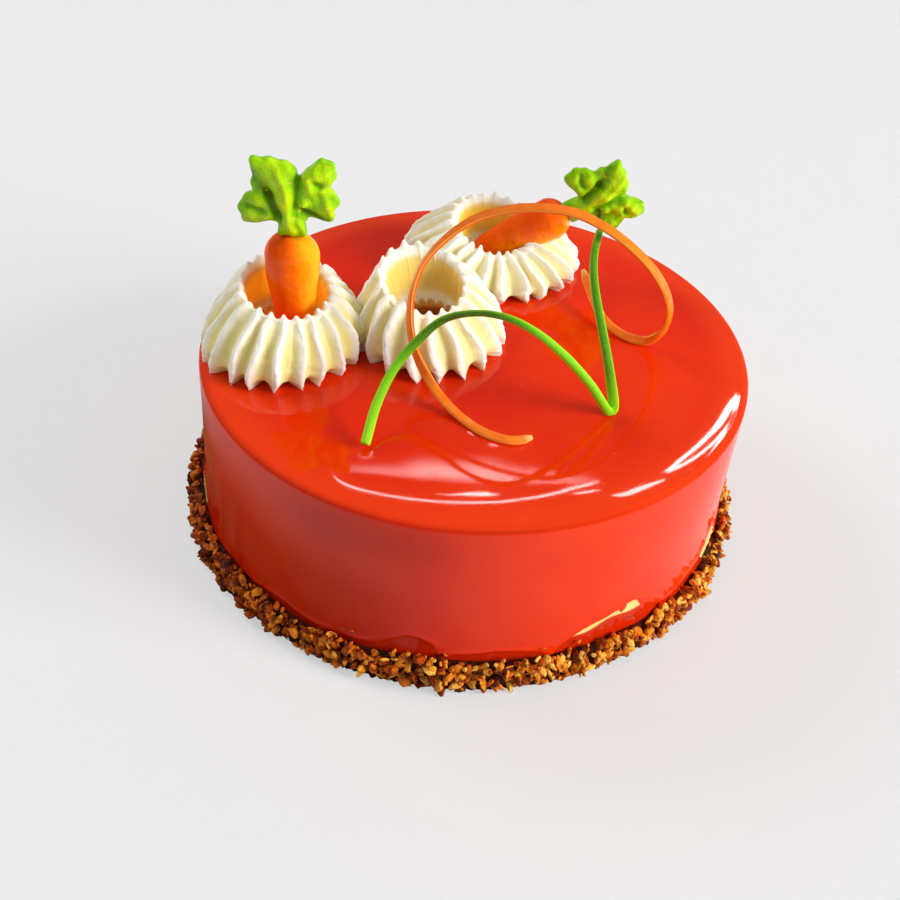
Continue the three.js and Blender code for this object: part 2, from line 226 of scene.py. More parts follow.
def bumps_round(a, places):
    """Sum of height * exp(-(angle from its place / half width)^2) over the places, in degrees."""
    total = np.zeros_like(a)
    for degrees, width, height in places:
        off = np.angle(np.exp(1j * (a - np.radians(degrees))))
        total = total + height * bell(off, 0, np.radians(width))
    return total


def wall_radius(z):
    """Radius of the wall at height z, with its flare at the foot."""
    return CAKE_RADIUS + FOOT_FLARE * (1 - ease(z, 0, FLARE_TOP))


def cake_point(a, r, z):
    """Point at angle a and distance r from the cake's middle line, which leans a little, at height z."""
    return np.stack([TOP_SHIFT * z / CAKE_HEIGHT + r * np.cos(a), r * np.sin(a), z + 0 * a], -1)


def cake_rows(around=440):
    """Rows round the cake from the middle of its foot over the wall and rim to the middle of the top.
    Wall radius = radius + flare at the foot + slow waves + narrow runs of glaze + the edge's thick roll;
    below the edge the first coat is thinner, and where that is missing too the mousse lies deeper. Each
    point also keeps its height over both edges, how far it is painted lighter near the rim (for the
    thinner glaze there and for painted light), how much painted shade and painted dark reflection darken
    it, and where it is grainy."""
    a = 2 * np.pi * np.arange(around) / around
    edge = EDGE_MEAN + 0.6 * np.sin(11 * a + 1) + 0.5 * np.sin(23 * a + 2.2) + bumps_round(a, EDGE_RISES)
    coat = COAT_MEAN + 0.7 * np.sin(17 * a) + 0.5 * np.sin(37 * a + 1) - bumps_round(a, COAT_DIPS)
    z = np.concatenate([[0.0, 0, 0.4, 1.2], np.linspace(2, 24, 62), np.linspace(24.8, RIM_Z, 37)])[:, None]
    inset = np.concatenate([[6.0, 0.8, 0.2], np.zeros(100)])[:, None]
    wave = 0.22 * np.sin(3 * a + 0.03 * z) + 0.12 * np.sin(7 * a + 1.3 - 0.02 * z)
    below = 1 - ease(z, edge - 0.35, edge + 0.15)
    bare = below * ease(z, coat - 0.2, coat + 0.2)
    roll = LIP * bell(z - edge, 0.7, 0.8)
    run = bumps_round(a, WALL_RUNS) * ease(z, edge, edge + 3) * (1 - ease(z, 22, 46))
    wall_r = (wall_radius(z) - inset + wave * (1 - ease(z, 46, RIM_Z)) + roll + run
              - COAT_STEP * below - BARE_STEP * bare)
    flat_r = CAKE_RADIUS - RIM_REACH
    flat_z = CROWN_Z - CROWN_DROP * (flat_r / CROWN_REACH) ** 4
    start = np.arctan(4 * CROWN_DROP * flat_r ** 3 / CROWN_REACH ** 4)
    t = np.linspace(np.pi / 2, start, 26)[1:, None]
    rim_r = flat_r + RIM_REACH * (np.sin(t) - np.sin(start)) / (1 - np.sin(start)) + 0 * a
    rim_z = RIM_Z + (flat_z - RIM_Z) * np.cos(t) / np.cos(start)
    top_r = np.concatenate([np.linspace(flat_r - 1, 20, 66), np.linspace(18, 1, 8)])[:, None] + 0 * a
    x, y = TOP_SHIFT + top_r * np.cos(a), top_r * np.sin(a)
    r, z = np.vstack([wall_r, rim_r]), np.vstack([z, rim_z]) + 0 * a
    # painted shade and painted dark reflection: darker red in the rim's crease, low on the left of the wall
    # and in a patch near the wall's top
    deep = (bumps_round(a, PAINTED_LOW_SHADE) * (1 - ease(z, 14, 50))
            + bumps_round(a, PAINTED_CREASE_SHADE) * bell(z, 62.2, 0.5)
            + bumps_round(a, PAINTED_DARK_REFLECTION) * bell(z, 53, 7) * (z <= RIM_Z))
    rows = np.vstack([cake_point(a, r, z), np.stack([x, y, glaze_top(x, y)], -1)])
    z, r = rows[..., 2], np.vstack([r, top_r])
    return rows, dict(over_edge=z - edge, over_coat=z - coat, thin=ease(z, 61.8, 62.7) * ease(r, 76, 87),
                      deep=np.vstack([deep, 0 * top_r]), fine=1 - ease(r, 70, 78))


cake_points, cake_marks = cake_rows()
cake = skin("glazed_cake", cake_points, **cake_marks)
glaze = Look("mirror_glaze", Roughness=0.03, IOR=1.35)
cloud = glaze.grade(glaze.noise(14, 3, 0.6), 0.36, 0.66)
red = glaze.mix(cloud, (0.75, 0.018, 0.0008), (0.83, 0.037, 0.0013))
# painted light: near the rim the top is painted lighter and more orange, partly for the thinner glaze there
# and partly for the light the rim catches
red = glaze.mix(glaze.times(glaze.mark("thin"), 0.8), red, (0.86, 0.046, 0.003))
below = glaze.grade(glaze.mark("over_edge"), -0.35, 0.15, 1, 0)
# the glaze is darkened by the painted shade and dark reflection above, and by the first coat's deeper red
# below the glaze's edge
darker = glaze.sum(glaze.mark("deep"), glaze.times(below, 0.8))
red = glaze.mix(glaze.times(darker, 0.7), red, (0.42, 0.012, 0.0012))
bare = glaze.times(below, glaze.grade(glaze.mark("over_coat"), -0.2, 0.2))
glaze.give(Base_Color=glaze.mix(bare, red, (0.88, 0.66, 0.22)), Roughness=glaze.grade(bare, 0, 1, 0.03, 0.5))
specks = glaze.grade(glaze.noise(900, 1, 0.5), 0.7, 0.8)
grain = glaze.times(glaze.noise(2400, 2, 0.5), glaze.mark("fine"))
glaze.bump((glaze.noise(14, 2), 0.00004), (glaze.noise(420, 2, 0.5), 0.000001), (specks, 0.00003),
           (grain, 0.000005))
keep(cake, glaze, "glaze", "cake_body")

# ------------------ nut band
# Caramelised hazelnuts and almonds, chopped to bits of 2 to 5 mm and pressed by hand against the foot
# of the wall while the glaze was soft. Each bit is a small lump with a few flat broken faces; a rough
# bed of ground nut lies under them, its dark brown deepened to near black as painted shade in the gaps.
BAND_HEIGHT, BAND_THICKNESS = 12.5, 4.9
BIT_COUNT, STRAY_COUNT = 2300, 26
# half size of the smallest bits in mm, and how much more the largest have
BIT_LEAST, BIT_MORE = 0.86, 1.36
# section of the bed from its inside to its outside foot: share of its thickness, share of its height
BED_SECTION = [(0, 0), (0, 0.5), (0, 0.97), (0.3, 1), (0.55, 0.92), (0.78, 0.72), (0.93, 0.5), (1, 0.3),
               (1, 0.1), (0.97, 0)]
# azimuth, half width and strength of the painted shade on the nuts of the side away from the key light
PAINTED_NUT_SHADE = [(-155, 48, 0.58)]


def wall_at(a, z, out):
    """Point of the wall's outside at angle a and height z, moved outwards by out."""
    return cake_point(a, wall_radius(z) + out, z)


def slow_wave(a, seed):
    """Sum of three harmonics round the turn, the same waves as the solid band's."""
    return (np.sin(2 * a + 1.7 * seed) + 0.7 * np.sin(5 * a + 2.9 * seed)
            + 0.5 * np.sin(9 * a + 4.1 * seed)) / 2.2


def sparse(a):
    """Share of the full height that the nuts reach: they stay low on the +X side."""
    return 1 - 0.36 * np.exp(-((a + np.pi) % (2 * np.pi) - np.pi + 0.25) ** 2 / 0.25)


def band_core(around=720):
    """Rows are sections up the band, from the floor inside to the floor outside, all rough."""
    rng = np.random.default_rng(3)
    a = 2 * np.pi * np.arange(around) / around
    high = (BAND_HEIGHT - 2.6) * (1 + 0.16 * slow_wave(a, 1)) * sparse(a)
    thick = (BAND_THICKNESS - 1.7) * (1 + 0.14 * slow_wave(a, 3))
    rows = []
    for out, up in BED_SECTION:
        rough = rng.normal(0, 0.3, around) if out > 0 else 0
        z = np.maximum(high * up + (rough if up > 0 else 0), 0)
        rows.append(wall_at(a, z, thick * out - 0.6 + rough))
    return np.array(rows)


def ball(cuts):
    """Unit ball of an octahedron's faces, each cut into cuts * cuts, as (points, triangles)."""
    corners = np.array([(1, 0, 0), (0, 1, 0), (-1, 0, 0), (0, -1, 0), (0, 0, 1), (0, 0, -1)], float)
    sides = [(0, 1, 4), (1, 2, 4), (2, 3, 4), (3, 0, 4), (1, 0, 5), (2, 1, 5), (3, 2, 5), (0, 3, 5)]
    found, points, triangles = {}, [], []

    def place(p):
        key = tuple(np.round(p, 6))
        if key not in found:
            found[key] = len(points)
            points.append(p / np.linalg.norm(p))
        return found[key]

    for side in sides:
        a, b, c = corners[list(side)]
        at = {(i, j): place(a + (b - a) * i / cuts + (c - a) * j / cuts)
              for i in range(cuts + 1) for j in range(cuts + 1 - i)}
        for i in range(cuts):
            for j in range(cuts - i):
                triangles.append((at[i, j], at[i + 1, j], at[i, j + 1]))
                if i + j < cuts - 1:
                    triangles.append((at[i + 1, j], at[i + 1, j + 1], at[i, j + 1]))
    return np.array(points), np.array(triangles)


def turns(rng, count):
    """Random rotation matrices from random unit quaternions."""
    q = rng.normal(size=(count, 4))
    w, x, y, z = (q / np.linalg.norm(q, axis=1, keepdims=True)).T
    return np.stack([1 - 2 * (y * y + z * z), 2 * (x * y - w * z), 2 * (x * z + w * y),
                     2 * (x * y + w * z), 1 - 2 * (x * x + z * z), 2 * (y * z - w * x),
                     2 * (x * z - w * y), 2 * (y * z + w * x), 1 - 2 * (x * x + y * y)],
                    -1).reshape(count, 3, 3)


def broken_bits(rng, middles, sizes, facets=7):
    """Every bit is a ball cut by a few random planes: a point's distance is the soft least (power -18
    sum) of depth / cosine over the planes. Then it is squashed, many to slivers, and turned."""
    unit, triangles = ball(3)
    count = len(middles)
    normals = rng.normal(size=(count, facets, 3))
    normals /= np.linalg.norm(normals, axis=2, keepdims=True)
    depth = rng.uniform(0.35, 0.95, (count, facets))
    cosine = np.maximum(np.einsum("pi,cfi->cpf", unit, normals), 1e-3)
    reach = (((cosine / depth[:, None, :]) ** 18).sum(-1) + 1) ** (-1 / 18)
    squash = rng.uniform((1, 0.65, 0.4), (1.7, 1.15, 0.85), (count, 3))
    shape = unit[None] * reach[..., None] * squash[:, None, :] * sizes[:, None, None]
    points = np.einsum("cij,cpj->cpi", turns(rng, count), shape) + middles[:, None, :]
    faces = triangles[None] + (np.arange(count) * len(unit))[:, None, None]
    return points.reshape(-1, 3), faces.reshape(-1, 3), np.repeat(rng.uniform(0, 1, count), len(unit))


def band_places(rng, count):
    """Middles of the bits: round the foot, from the floor up, on the core's skin, some on its shoulder.
    Lower bits lie further out."""
    a = rng.uniform(0, 2 * np.pi, count)
    up = rng.uniform(0, 1, count) ** 0.9
    clump = (np.sin(23 * a + 1) + np.sin(37 * a + 4) + np.sin(58 * a + 2)) / 3
    high = (BAND_HEIGHT - 1.2) * (1 + 0.16 * slow_wave(a, 1)) * (1 + 0.16 * clump) * sparse(a)
    thick = (BAND_THICKNESS - 1.6) * (1 + 0.14 * slow_wave(a, 3)) * (1 + 0.2 * clump)
    out = thick * np.sqrt(np.clip(1 - (0.92 * up) ** 2.6, 0, 1)) - rng.uniform(-1.1, 0.9, count)
    return wall_at(a, 1.2 + (high - 1.2) * up, np.maximum(out, 0.2))


rng = np.random.default_rng(11)
middles = band_places(rng, BIT_COUNT)
sizes = BIT_LEAST + BIT_MORE * rng.uniform(0, 1, BIT_COUNT) ** 1.5
strays = rng.uniform(0, 2 * np.pi, STRAY_COUNT)
middles = np.vstack([middles, wall_at(strays, rng.uniform(11, 15, STRAY_COUNT), 0.9)])
sizes = np.append(sizes, rng.uniform(0.5, 0.9, STRAY_COUNT))
middles[:, 2] = np.maximum(middles[:, 2], 0.62 * sizes)
bit_points, bit_faces, bit_tone = broken_bits(rng, middles, sizes)
bit_points[:, 2] = np.maximum(bit_points[:, 2], 0)
# painted shade: the bits on the side away from the key light are darkened
bit_tone = bit_tone * (1 - bumps_round(np.arctan2(bit_points[:, 1], bit_points[:, 0]), PAINTED_NUT_SHADE))
bits = build("nut_bits", bit_points * MM, bit_faces.tolist(), smooth=False, tone=bit_tone)
nut = Look("caramel_nut", Roughness=0.22, IOR=1.45)
shade = nut.ramp(nut.mark("tone"), (0, (0.05, 0.005, 0.0008)), (0.12, (0.36, 0.042, 0.002)),
                 (0.36, (0.8, 0.19, 0.006)), (0.62, (0.98, 0.38, 0.024)), (0.95, (1, 0.64, 0.12)))
patch = nut.grade(nut.noise(420, 3, 0.6), 0.38, 0.52)
nut.give(Base_Color=nut.mix(patch, nut.mix(1, shade, (0.34, 0.1, 0.03), "MULTIPLY"), shade))
nut.bump((nut.noise(1100, 4, 0.65), 0.0003))
keep(bits, nut, "nuts", "nut_crumb_band")
core = skin("nut_bed", band_core(), loop=True)
bed = Look("ground_nut_bed", Roughness=0.8)
# painted shade: the bed is near black, standing for the shade in the gaps between the bits
bed.give(Base_Color=bed.ramp(bed.noise(700, 3), (0.3, (0.02, 0.002, 0.0006)), (0.7, (0.1, 0.015, 0.002))))
bed.bump((bed.noise(900, 3), 0.0006))
keep(core, bed, "nuts", "nut_crumb_band")

# ------------------ cream rings
# Whipped ganache piped cold, each ring in one press of a wide fluted nozzle with a cone in its middle.
# The teeth leave sharp upright fins with scooped valleys between them, which end in points on the
# glaze and in small peaks round the hole; the cone leaves the inside of the hole smooth.
# share of the way from the hole's edge to the outer foot, share of the height, depth of the valley
# between two fins in mm, share of painted shade and glow inside the hole, and the first two again for
# the low side of the ring
RING_PROFILE = [
    (0.97, 0, 4.6, 0, 0.97, 0), (1.02, 0.07, 4.3, 0, 1.02, 0.07), (1.045, 0.15, 4, 0, 1.045, 0.15),
    (1.045, 0.25, 3.6, 0, 1.045, 0.26), (1.02, 0.35, 3.4, 0, 1.02, 0.37),
    (0.975, 0.46, 3.3, 0, 0.975, 0.48), (0.905, 0.565, 3.1, 0, 0.905, 0.585),
    (0.82, 0.655, 2.9, 0, 0.82, 0.68), (0.735, 0.74, 2.6, 0, 0.73, 0.76),
    (0.65, 0.82, 2.3, 0, 0.64, 0.83), (0.565, 0.895, 2, 0, 0.545, 0.895),
    (0.48, 0.96, 1.7, 0, 0.45, 0.945), (0.4, 0.99, 1.4, 0, 0.345, 0.985), (0.345, 0.95, 1.1, 0, 0.26, 1),
    (0.3, 0.88, 0.8, 0.2, 0.195, 0.98), (0.265, 0.8, 0.4, 0.8, 0.16, 0.92),
    (0.24, 0.72, 0.15, 1, 0.145, 0.82), (0.22, 0.64, 0, 1, 0.14, 0.7), (0.205, 0.56, 0, 1, 0.135, 0.58),
    (0.185, 0.48, 0, 0.8, 0.125, 0.48), (0.13, 0.42, 0, 0.3, 0.1, 0.42),
    (0.055, 0.36, 0, 0.2, 0.05, 0.36), (0, 0.3, 0, 0.3, 0, 0.3), (0.05, 0.24, 0, 1, 0.05, 0.24),
    (0.2, 0.16, 0, 1, 0.2, 0.16), (0.34, 0.08, 0, 1, 0.34, 0.08), (0.4, 0, 0, 1, 0.4, 0)]


def smooth_path(points, count, closed=False, fine=24):
    """Centripetal Catmull-Rom curve through the points, at count places evenly spaced along it. Each
    stretch is the cubic with tangents made from the square roots of the neighbouring distances."""
    p = np.asarray(points, float)
    ends = (p[-1:], p[:2]) if closed else (2 * p[:1] - p[1:2], 2 * p[-1:] - p[-2:-1])
    p = np.vstack([ends[0], p, ends[1]])
    gap = np.maximum(np.linalg.norm(np.diff(p, axis=0), axis=1) ** 0.5, 1e-6)[:, None]
    p0, p1, p2, p3 = p[:-3], p[1:-2], p[2:-1], p[3:]
    g0, g1, g2 = gap[:-2], gap[1:-1], gap[2:]
    m1 = ((p1 - p0) / g0 - (p2 - p0) / (g0 + g1) + (p2 - p1) / g1) * g1
    m2 = ((p2 - p1) / g1 - (p3 - p1) / (g1 + g2) + (p3 - p2) / g2) * g1
    t = (np.arange(fine) / fine)[None, :, None]
    a, b, m, k = p1[:, None], p2[:, None], m1[:, None], m2[:, None]
    curve = a + m * t + (3 * (b - a) - 2 * m - k) * t ** 2 + (2 * (a - b) + m + k) * t ** 3
    curve = np.vstack([curve.reshape(-1, p.shape[1]), p[-2 if not closed else 1][None]])
    length = np.append(0, np.cumsum(np.linalg.norm(np.diff(curve, axis=0), axis=1)))
    where = np.linspace(0, length[-1], count, endpoint=not closed)
    return np.stack([np.interp(where, length, curve[:, q]) for q in range(p.shape[1])], -1)


def roughness_of(rng, u, v, terms=14, fine=(20, 7)):
    """Sum of sines over both parameters with random whole frequencies round u and random ones along v,
    about -1 to 1."""
    total = 0
    for _ in range(terms):
        around, along = rng.integers(1, fine[0]), rng.uniform(-fine[1], fine[1])
        total = total + np.sin(2 * np.pi * (around * u + along * v + rng.uniform()))
    return total / terms ** 0.5


def cream_ring(name, x, y, foot, hole, height, ridges, ridge_at, lean, tilt, high_at, spike, seed, glow,
               deep, painted_light=1.0, stretch=1.0, steps=112):
    """Rows are turns round the ring, points in a row follow the profile from the outer foot over the
    crest and down the hole to its undercut. A point moves in along the profile's normal by depth *
    valley, where valley = 1 - (1 - w)^1.9 and w grows from 0 at the edge of a fin's blunt top to 1 in
    the middle between two fins. The foot is arched up between the fins, so each ends in a point; the
    crest carries a spike on each fin and the hole's lower edge hangs in teeth."""
    rng = np.random.default_rng(seed)
    # the profile is spread out evenly by its size in mm, and keeps the number of its knot
    marks = np.arange(len(RING_PROFILE))[:, None]
    scale = np.array([height * 0.7, height, 1, 1, 0.01, 0.01, 0.01])
    profile = smooth_path(np.hstack([RING_PROFILE, marks]) * scale, steps) / scale
    slope_r = np.gradient(profile[:, 0]) * (foot - hole)
    slope_z = np.gradient(profile[:, 1]) * height
    length = np.hypot(slope_r, slope_z)
    out, up, depth, hole_shade_and_glow, low_out, low_up, mark = profile.T[:, None, :]
    normal_r, normal_z = (slope_z / length)[None], (-slope_r / length)[None]
    # places from the middle of a fin to the middle of the valley, closest at the fin's edge
    near = np.array([0, 0.04, 0.07, 0.09, 0.105, 0.125, 0.15, 0.185, 0.23, 0.29, 0.36, 0.43])
    within = np.concatenate([-near[:0:-1], near, [0.5]])
    phase = (np.arange(ridges)[:, None] + within[None]).reshape(-1, 1)
    fin = np.round(phase - 1e-6).astype(int) % ridges
    d = np.abs(phase - np.round(phase - 1e-6))
    blunt = 0.02 + 0.07 * ease(up, 0, 0.22) + 0.03 * ease(up, 0.6, 1)
    w = np.clip((d - blunt) / (0.5 - blunt), 0, 1)
    valley = 1 - (1 - w) ** 1.9
    ridge = 1 - valley
    fin_r, fin_z, fin_deep, fin_turn = (rng.normal(0, s, ridges)[fin] for s in (0.25, 0.45, 0.07, 0.1))
    outer = ease(out, 0.34, 0.6)
    turn = phase / ridges
    wobble = 0.08 * np.sin(2 * np.pi * (1.3 * up + 0.37 * fin)) + fin_turn
    angle = np.radians(ridge_at) + 2 * np.pi * turn + 2 * np.pi / ridges * wobble * ridge * outer
    towards = np.cos(angle - np.radians(high_at))
    lower = 0.5 - 0.5 * towards
    at = out + (low_out - out) * lower
    depth = (depth * (deep + (1 - deep) * ease(-up, -0.2, 0))
             * (1 - 0.85 * ease(mark, 12, 13.6) * ease(1 - lower, 0.3, 0.8)))
    rise = (up + (low_up - up) * lower) * height * (1 + tilt * towards)
    wave = 1 + 0.014 * np.sin(2 * angle + foot) + 0.01 * np.sin(5 * angle + 2 * foot)
    rough = roughness_of(rng, turn, up + 0.5 * out)
    grain = roughness_of(rng, turn, up + 0.5 * out, 18, (90, 16))
    push = (outer * fin_r * ridge - depth * valley * (1 + fin_deep) - 0.18 * np.minimum(1, d / blunt) ** 2
            + (0.12 * rough + 0.09 * grain * (0.3 + ridge)) * (0.2 + 0.8 * outer))
    tooth = bell(up, 0.29, 0.05) * ease(0.13 - out, 0, 0.06) * np.abs(np.sin(np.pi * phase)) ** 0.7
    toes = np.exp(-up / 0.055) * outer
    r = (hole + (foot - hole) * at) * np.where(out > 0.4, wave, 1) + normal_r * push
    r = r + 0.6 * toes * ridge ** 2 + 1.2 * tooth
    peak = bell(mark, 11.6, 0.8) * ease(1 - lower, 0.2, 0.7) * ridge ** 1.5
    lip = bell(mark, 13.8, 0.8) * ease(lower, 0.3, 0.8) * ridge ** 1.5
    z = rise + normal_z * push * ease(up, 0, 0.05) + peak * (spike + fin_z) + lip * (0.9 + fin_z)
    z = z + toes * 1.6 * np.minimum(1, 2.4 * d) + 1.4 * tooth
    px = x + lean[0] * up + stretch * r * np.cos(angle)
    py = y + lean[1] * up + r * np.sin(angle)
    points = np.stack([px, py, glaze_top(px, py) - 0.25 + z], -1)
    # painted shade: deeper valleys between the fins are painted yellower and darker; near the glaze the
    # valleys and the hole's teeth take a painted brown of light bounced from the red glaze
    tint = painted_light * ease(w, 0.02, 0.5) * ease(depth, 0.3, 2) + 0 * px
    low = ease(0.34 - up, 0, 0.34) * valley * outer + ease(tooth, 0.45, 0.9)
    return skin(name, points, loop=True, valley=tint, inside=glow * hole_shade_and_glow + 0 * px, low=low + 0 * px)


cream = Look("piped_ganache", Roughness=0.45, IOR=1.4, Subsurface_Weight=0.4,
             Subsurface_Radius=(0.006, 0.0045, 0.0018), Subsurface_Scale=0.7)
pale = cream.mix(cream.grade(cream.noise(60, 3), 0.3, 0.7), (0.95, 0.91, 0.83), (0.93, 0.88, 0.73))
# painted shade in the valleys, then painted bounced light and shade near the glaze
pale = cream.mix(cream.mark("valley"), pale, (0.87, 0.78, 0.3))
pale = cream.mix(cream.times(cream.mark("low"), 0.6), pale, (0.7, 0.48, 0.16))
# painted shade and painted bounced light in the holes: golden inside, orange in the holes that hold a carrot
hollow = cream.ramp(cream.mark("inside"), (0, (0.92, 0.88, 0.74)), (0.3, (0.86, 0.7, 0.26)),
                    (0.6, (0.86, 0.56, 0.06)), (1, (0.98, 0.42, 0.012)))
pale = cream.mix(cream.grade(cream.mark("inside"), 0, 0.2), pale, hollow)
# painted glow: the two holes that hold a carrot glow a little, standing for light that comes through the
# thin cream into them
cream.give(Base_Color=pale, Emission_Color=hollow,
           Emission_Strength=cream.grade(cream.mark("inside"), 0.5, 1, 0, 0.2))
cream.bump((cream.noise(300, 4, 0.6), 0.0003), (cream.noise(1600, 2, 0.5), 0.00008))
RINGS = [
    dict(name="cream_ring_left", x=-60.8, y=-10.4, foot=25.9, hole=9.0, height=22.5, ridges=21,
         ridge_at=-87.5, lean=(2.6, 1.6), tilt=0.18, high_at=130, spike=0.5, seed=5, glow=1.0, deep=0.66),
    dict(name="cream_ring_middle", x=-12.2, y=-1.9, foot=24.3, hole=8.6, height=22.2, ridges=18, ridge_at=-79,
         lean=(-3.6, 2), tilt=0.23, high_at=118, spike=0.9, seed=6, glow=0.46, deep=0.76, painted_light=0.9),
    dict(name="cream_ring_back", x=4.6, y=46.2, foot=25.4, hole=5.0, height=17.0, ridges=23, ridge_at=-80,
         lean=(2, 0.6), tilt=0.36, high_at=112, spike=0.3, seed=7, glow=0.66, deep=0.8, painted_light=0.8,
         stretch=1.24)]
for ring in RINGS:
    node = ring.pop("name")
    keep(cream_ring("piped_" + node, **ring), cream, "cream", node)

# ------------------ sugar carrots
# Two small carrots cast in one silicone mould from coloured sugar paste: a glossy orange root and a
# thick lumpy leaf of mottled green, each a casting of its own joined while warm.
ROOT_LENGTH, ROOT_RADIUS, ROOT_FLATNESS = 40.3, 8.6, 0.86
LEAF_MIDDLE, LEAF_THICKNESS, STALK_FOOT = 53, 6.4, 40.6
# degrees from straight up towards +X, and reach from the leaf's middle in mm
LEAF_OUTLINE = [
    (-43, 17.2), (-26, 14.7), (-9, 12.7), (9, 10.8), (20, 8.2), (28, 11.6), (37, 17.5), (47, 18.2),
    (57, 17.2), (70, 13.4), (87, 15.2), (100, 14.2), (118, 14.2), (124, 10.6), (133, 8.1), (147, 8.6),
    (160, 13.1), (180, 12.3), (197, 12.9), (208, 8.7), (225, 11.2), (235, 15.6), (244, 16.8),
    (261, 15.9), (272, 13.6), (284, 11.6), (297, 13.1), (306, 13.6)]
# ribs and furrows of the mould: from (x, z) to (x, z), half width and height in mm
LEAF_RELIEF = [
    (-3.8, 65.5, -0.8, 55, 3.4, 1.1), (-0.8, 55, 0.4, 44, 2.4, 1.4),
    (-10.4, 61.5, -6.4, 55.2, 1.7, -1.3), (-6.4, 55.2, -3.6, 47.5, 1.5, -1.8),
    (2.6, 60.5, 1.6, 49, 1.2, -1.4), (-9.5, 64.5, -7.8, 60, 1.8, 0.8), (6.7, 61.5, 10.7, 63, 2.3, 1.5),
    (10.7, 57.6, 12.6, 58.4, 2, 1.3), (5.2, 56.5, 6.8, 58, 1.6, 1.1), (4.3, 52.6, 5.2, 53.2, 1.3, 0.9),
    (8.2, 59.8, 9.6, 59, 1, -1.2), (4.4, 50.4, 11, 47, 1.2, -1.9), (11.9, 51.6, 12.8, 50.4, 2.1, 1.3),
    (9.6, 45.6, 10.8, 46.6, 1.6, 0.9), (-10, 51.9, -8, 52.6, 2.6, 1), (-12.4, 47.2, -11, 47.6, 2, 1),
    (-7.2, 47.2, -6, 47.4, 1.8, 0.8), (-12.8, 50.2, -8.6, 49.4, 1.1, -1.2)]
# tip of the root, turn about X, Y and Z in degrees, size, extra neck in mm
CARROTS = {"left": ((-56.9, -8.2, 64.3), (0, 0, 0), 1, 0),
           "back": ((0.1, 49.4, 68.6), (1.9, 58.7, 1.1), 0.89, 2.4)}


def turned(degrees):
    """Rotation matrix about X after Y after Z."""
    (cx, cy, cz), (sx, sy, sz) = np.cos(np.radians(degrees)), np.sin(np.radians(degrees))
    about_x = np.array([[1, 0, 0], [0, cx, -sx], [0, sx, cx]])
    about_y = np.array([[cy, 0, sy], [0, 1, 0], [-sy, 0, cy]])
    about_z = np.array([[cz, -sz, 0], [sz, cz, 0], [0, 0, 1]])
    return about_x @ about_y @ about_z


def root_points(around=96, steps=120):
    """Radius = full radius * round tip * slow swelling * shoulder, with faint rings and dents."""
    t = (0.5 - 0.5 * np.cos(np.pi * np.linspace(0.02, 0.995, steps)))[:, None]
    a = (2 * np.pi * np.arange(around) / around)[None, :]
    tip = np.sqrt(np.clip(1 - (1 - np.minimum(1, t / 0.16)) ** 2, 0, 1))
    shoulder = np.sqrt(1 - np.clip((t - 0.82) / 0.18, 0, 1) ** 2)
    r = ROOT_RADIUS * tip * (0.62 + 0.38 * ease(t, 0, 0.8)) * (0.3 + 0.7 * shoulder)
    r = r * (1 + 0.012 * np.sin(2 * a + 9 * t) + 0.01 * np.sin(3 * a - 14 * t) + 0.006 * np.sin(31 * t))
    z = ROOT_LENGTH * t + 0.25 * np.sin(3 * a + 1) * ease(t, 0.8, 1)
    # painted light: the second array is 1 on the root's side towards +X and 0 on the other side
    return np.stack([r * np.cos(a), ROOT_FLATNESS * r * np.sin(a), z], -1), 0.5 + 0.5 * np.cos(a) + 0 * r


def relief(x, z):
    """Sum over the ribs and furrows of height * exp(-(distance to its line / half width)^2)."""
    total = np.zeros_like(x)
    for x0, z0, x1, z1, width, height in LEAF_RELIEF:
        span = (x1 - x0) ** 2 + (z1 - z0) ** 2
        t = np.clip(((x - x0) * (x1 - x0) + (z - z0) * (z1 - z0)) / span, 0, 1)
        gap = np.hypot(x - x0 - t * (x1 - x0), z - z0 - t * (z1 - z0))
        total += height * bell(gap, 0, width)
    return total


def leaf_points(neck, around=260, steps=84):
    """A cushion over the outline: going from the middle of the face over the edge to the middle of the
    back, share = sin(t)^0.8 of the outline and depth = -cos(t)^0.6 of half the thickness, plus relief."""
    turn, reach = np.radians([p[0] for p in LEAF_OUTLINE]), np.array([p[1] for p in LEAF_OUTLINE])
    knots = np.stack([reach * np.sin(turn), reach * np.cos(turn)], -1)
    edge = smooth_path(knots, around, closed=True)[None]
    ripple = 1 + 0.02 * np.sin(np.arange(around) * 2 * np.pi * 23 / around)[None, :, None]
    t = np.linspace(0.03, np.pi - 0.03, steps)[:, None]
    share = np.sin(t) ** 0.8
    x, z = (edge * ripple * share[..., None]).transpose(2, 0, 1)
    z = z + LEAF_MIDDLE
    depth = -np.sign(np.cos(t)) * np.abs(np.cos(t)) ** 0.6
    lump = 0.5 * np.sin(0.9 * x + 1) * np.sin(0.8 * z) + 0.35 * np.sin(1.7 * x + 0.6 * z)
    bumps = relief(x, z)
    front = np.clip(-depth, 0, 1)
    y = 0.5 * LEAF_THICKNESS * depth * 0.86 - front * (bumps + 0.5 * lump)
    y = y + np.clip(depth, 0, 1) * (0.55 * relief(-x, z) + 0.6 * lump)
    y = y + 0.9 * ease(-x, 4, 12) * ease(56 - z, 0, 6) * front
    z = z + neck * ease(z, STALK_FOOT, STALK_FOOT + 5)
    # painted light and shade: raised ribs and lumps are painted a lighter green and furrows a darker one
    tone = np.clip(0.5 + 0.22 * np.where(depth < 0, bumps, 0.6 * relief(-x, z)) + 0.05 * lump, 0, 1)
    return np.stack([x, y, z], -1), tone


orange = Look("orange_sugar", Roughness=0.1, IOR=1.3, Subsurface_Weight=0.5,
              Subsurface_Radius=(0.008, 0.003, 0.0006), Subsurface_Scale=0.8)
streak = orange.grade(orange.noise(90, 3, 0.6, stretch=(1, 1, 0.35)), 0.3, 0.7, -0.22, 0.22)
